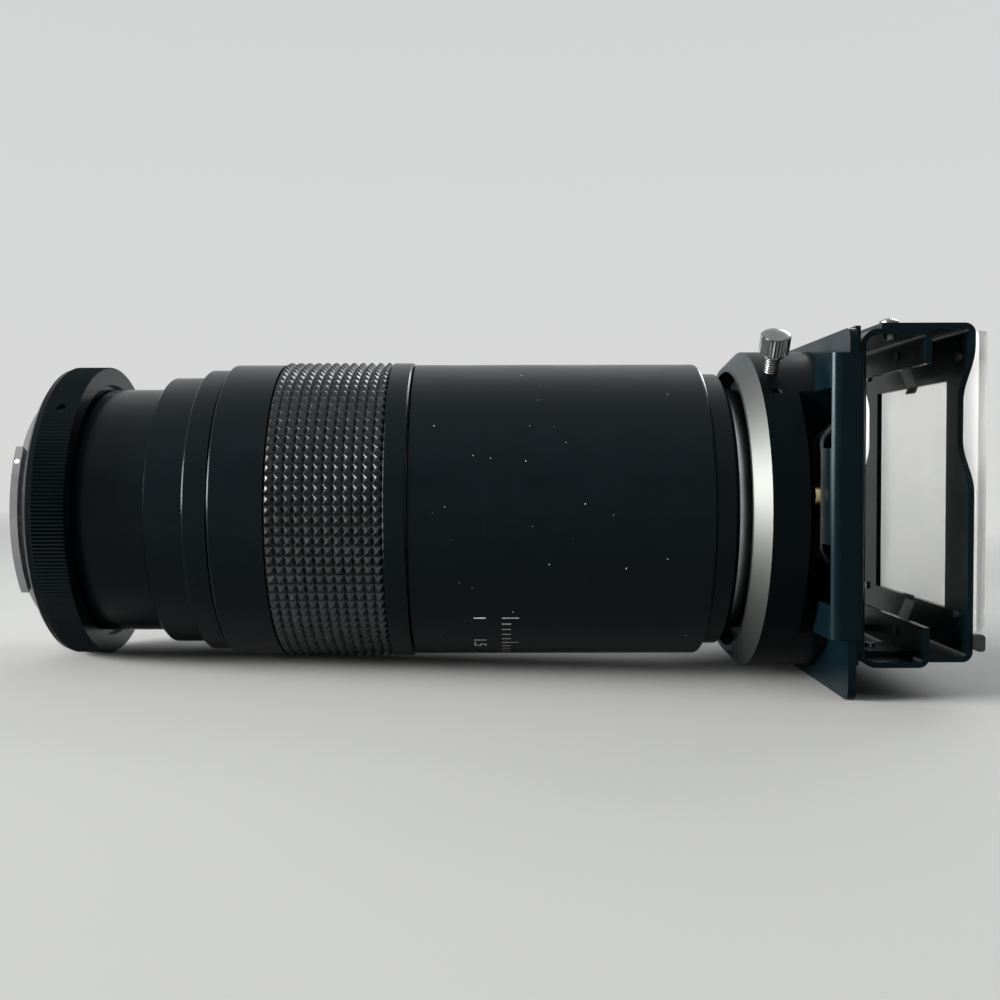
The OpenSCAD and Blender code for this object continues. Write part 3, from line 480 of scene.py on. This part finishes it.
def plain_floor():
    """A pale floor, tilted so that the mount ring's and the flange plate's edges both touch it."""
    half = 60.0
    mesh = bpy.data.meshes.new("floor")
    mesh.from_pydata([(-half, -half, 0), (half, -half, 0), (half, half, 0), (-half, half, 0)],
                     [], [(0, 1, 2, 3)])
    floor = bpy.data.objects.new("floor", mesh)
    bpy.context.scene.collection.objects.link(floor)
    flange_edge = (0.1589, 0, -0.0355)
    rise, run = 0.0045, 0.1575
    floor.matrix_world = (Matrix.Translation(flange_edge)
                          @ Matrix.Rotation(math.atan2(rise, run), 4, "Y"))

    mat, tree, bsdf = new_material("floor")
    feed_named(tree, bsdf, {
        "Base Color": (0.41, 0.41, 0.405, 1),
        "Specular IOR Level": 0.0,
        "Roughness": 0.6,
    })
    # Far from the object the floor shows in the wall's colour, so that there is no horizon.
    place = add(tree, "TexCoord").outputs["Object"]
    distance = add(tree, "VectorMath", place, operation="LENGTH").outputs["Value"]
    fade = ramp(tree, distance, [(0.28, 0.0), (0.75, 1.0)])
    share = add(tree, "Math", fade, seen_by(tree), operation="MULTIPLY").outputs[0]
    far = add(tree, "Emission", (*HORIZON, 1)).outputs[0]
    mix = add(tree, "MixShader", share, bsdf.outputs[0], far)
    feed(tree, tree.nodes["Material Output"].inputs["Surface"], mix.outputs[0])
    floor.data.materials.append(mat)


def world_light():
    """A soft sky lights matt surfaces, brightest above and behind the object, and dark on the
    camera's side. Rays that show the background see a pale wall under a white ceiling."""
    world = bpy.data.worlds.new("world")
    bpy.context.scene.world = world
    world.use_nodes = True
    tree = world.node_tree
    tree.nodes.clear()
    direction = add(tree, "TexCoord").outputs["Generated"]
    up_and_behind = along(tree, direction, Vector((0.1, 0.3, 0.95)).normalized())
    bands = [(0.0, 0.01), (0.18, 0.015), (0.34, 0.18), (0.55, 0.4), (0.8, 0.55), (1.0, 0.7)]
    sky = ramp(tree, up_and_behind, [(place, (0.93 * value, 0.98 * value, 1.0 * value))
                                     for place, value in bands])
    height = add(tree, "SeparateXYZ", direction).outputs[2]
    wall = ramp(tree, height, [(0.0, HORIZON), (0.14, (0.68, 0.69, 0.685)),
                               (0.45, (0.64, 0.65, 0.65)), (0.75, (1.0, 1.0, 1.0))])
    mix = add(tree, "MixShader", seen_by(tree), add(tree, "Background", sky, 1.35).outputs[0],
              add(tree, "Background", wall, 1.0).outputs[0])
    add(tree, "OutputWorld", mix.outputs[0])


def area_light(name, place, target, size, power, spread, colour=(1, 1, 1)):
    data = bpy.data.lights.new(name, "AREA")
    data.shape = "RECTANGLE"
    data.size, data.size_y = size
    data.energy = power
    data.color = colour
    data.spread = math.radians(spread)
    obj = bpy.data.objects.new(name, data)
    bpy.context.scene.collection.objects.link(obj)
    obj.location = place
    obj.rotation_mode = "QUATERNION"
    obj.rotation_quaternion = (Vector(target) - Vector(place)).to_track_quat("-Z", "Y")


def photo_camera():
    """The photograph's view: its place, turn and lens were worked out from the object's sizes."""
    focal_pixels, image_pixels, sensor = 1164, 1000, 36.0
    data = bpy.data.cameras.new("camera")
    data.sensor_width = sensor
    data.lens = focal_pixels * sensor / image_pixels
    data.clip_start = 0.01
    cam = bpy.data.objects.new("camera", data)
    bpy.context.scene.collection.objects.link(cam)
    cam.location = (0.09305, -0.25555, 0.00952)
    yaw, pitch, roll = math.radians(0.05), math.radians(-1.70), math.radians(-0.12)
    level = Matrix.Rotation(math.radians(90), 4, "X")
    cam.rotation_mode = "QUATERNION"
    cam.rotation_quaternion = (
        Matrix.Rotation(yaw, 4, "Z") @ Matrix.Rotation(pitch, 4, "X") @ level
        @ Matrix.Rotation(roll, 4, "Z")
    ).to_quaternion()
    bpy.context.scene.camera = cam


dress_nodes()
screw_recess_shade()
zoom_scale()
index_mark(math.radians(23), radius=0.00055)
dust(34)

plain_floor()
world_light()
area_light("left", place=(-0.95, -0.25, 0.24), target=(0.14, -0.03, 0.05), size=(0.6, 0.42),
           power=7.2, spread=60, colour=(1, 0.99, 0.97))
area_light("right", place=(1.0, 1.15, 0.75), target=(0.18, 0, 0), size=(0.8, 0.7),
           power=4.5, spread=100)
photo_camera()
bpy.context.scene.view_settings.view_transform = "Standard"
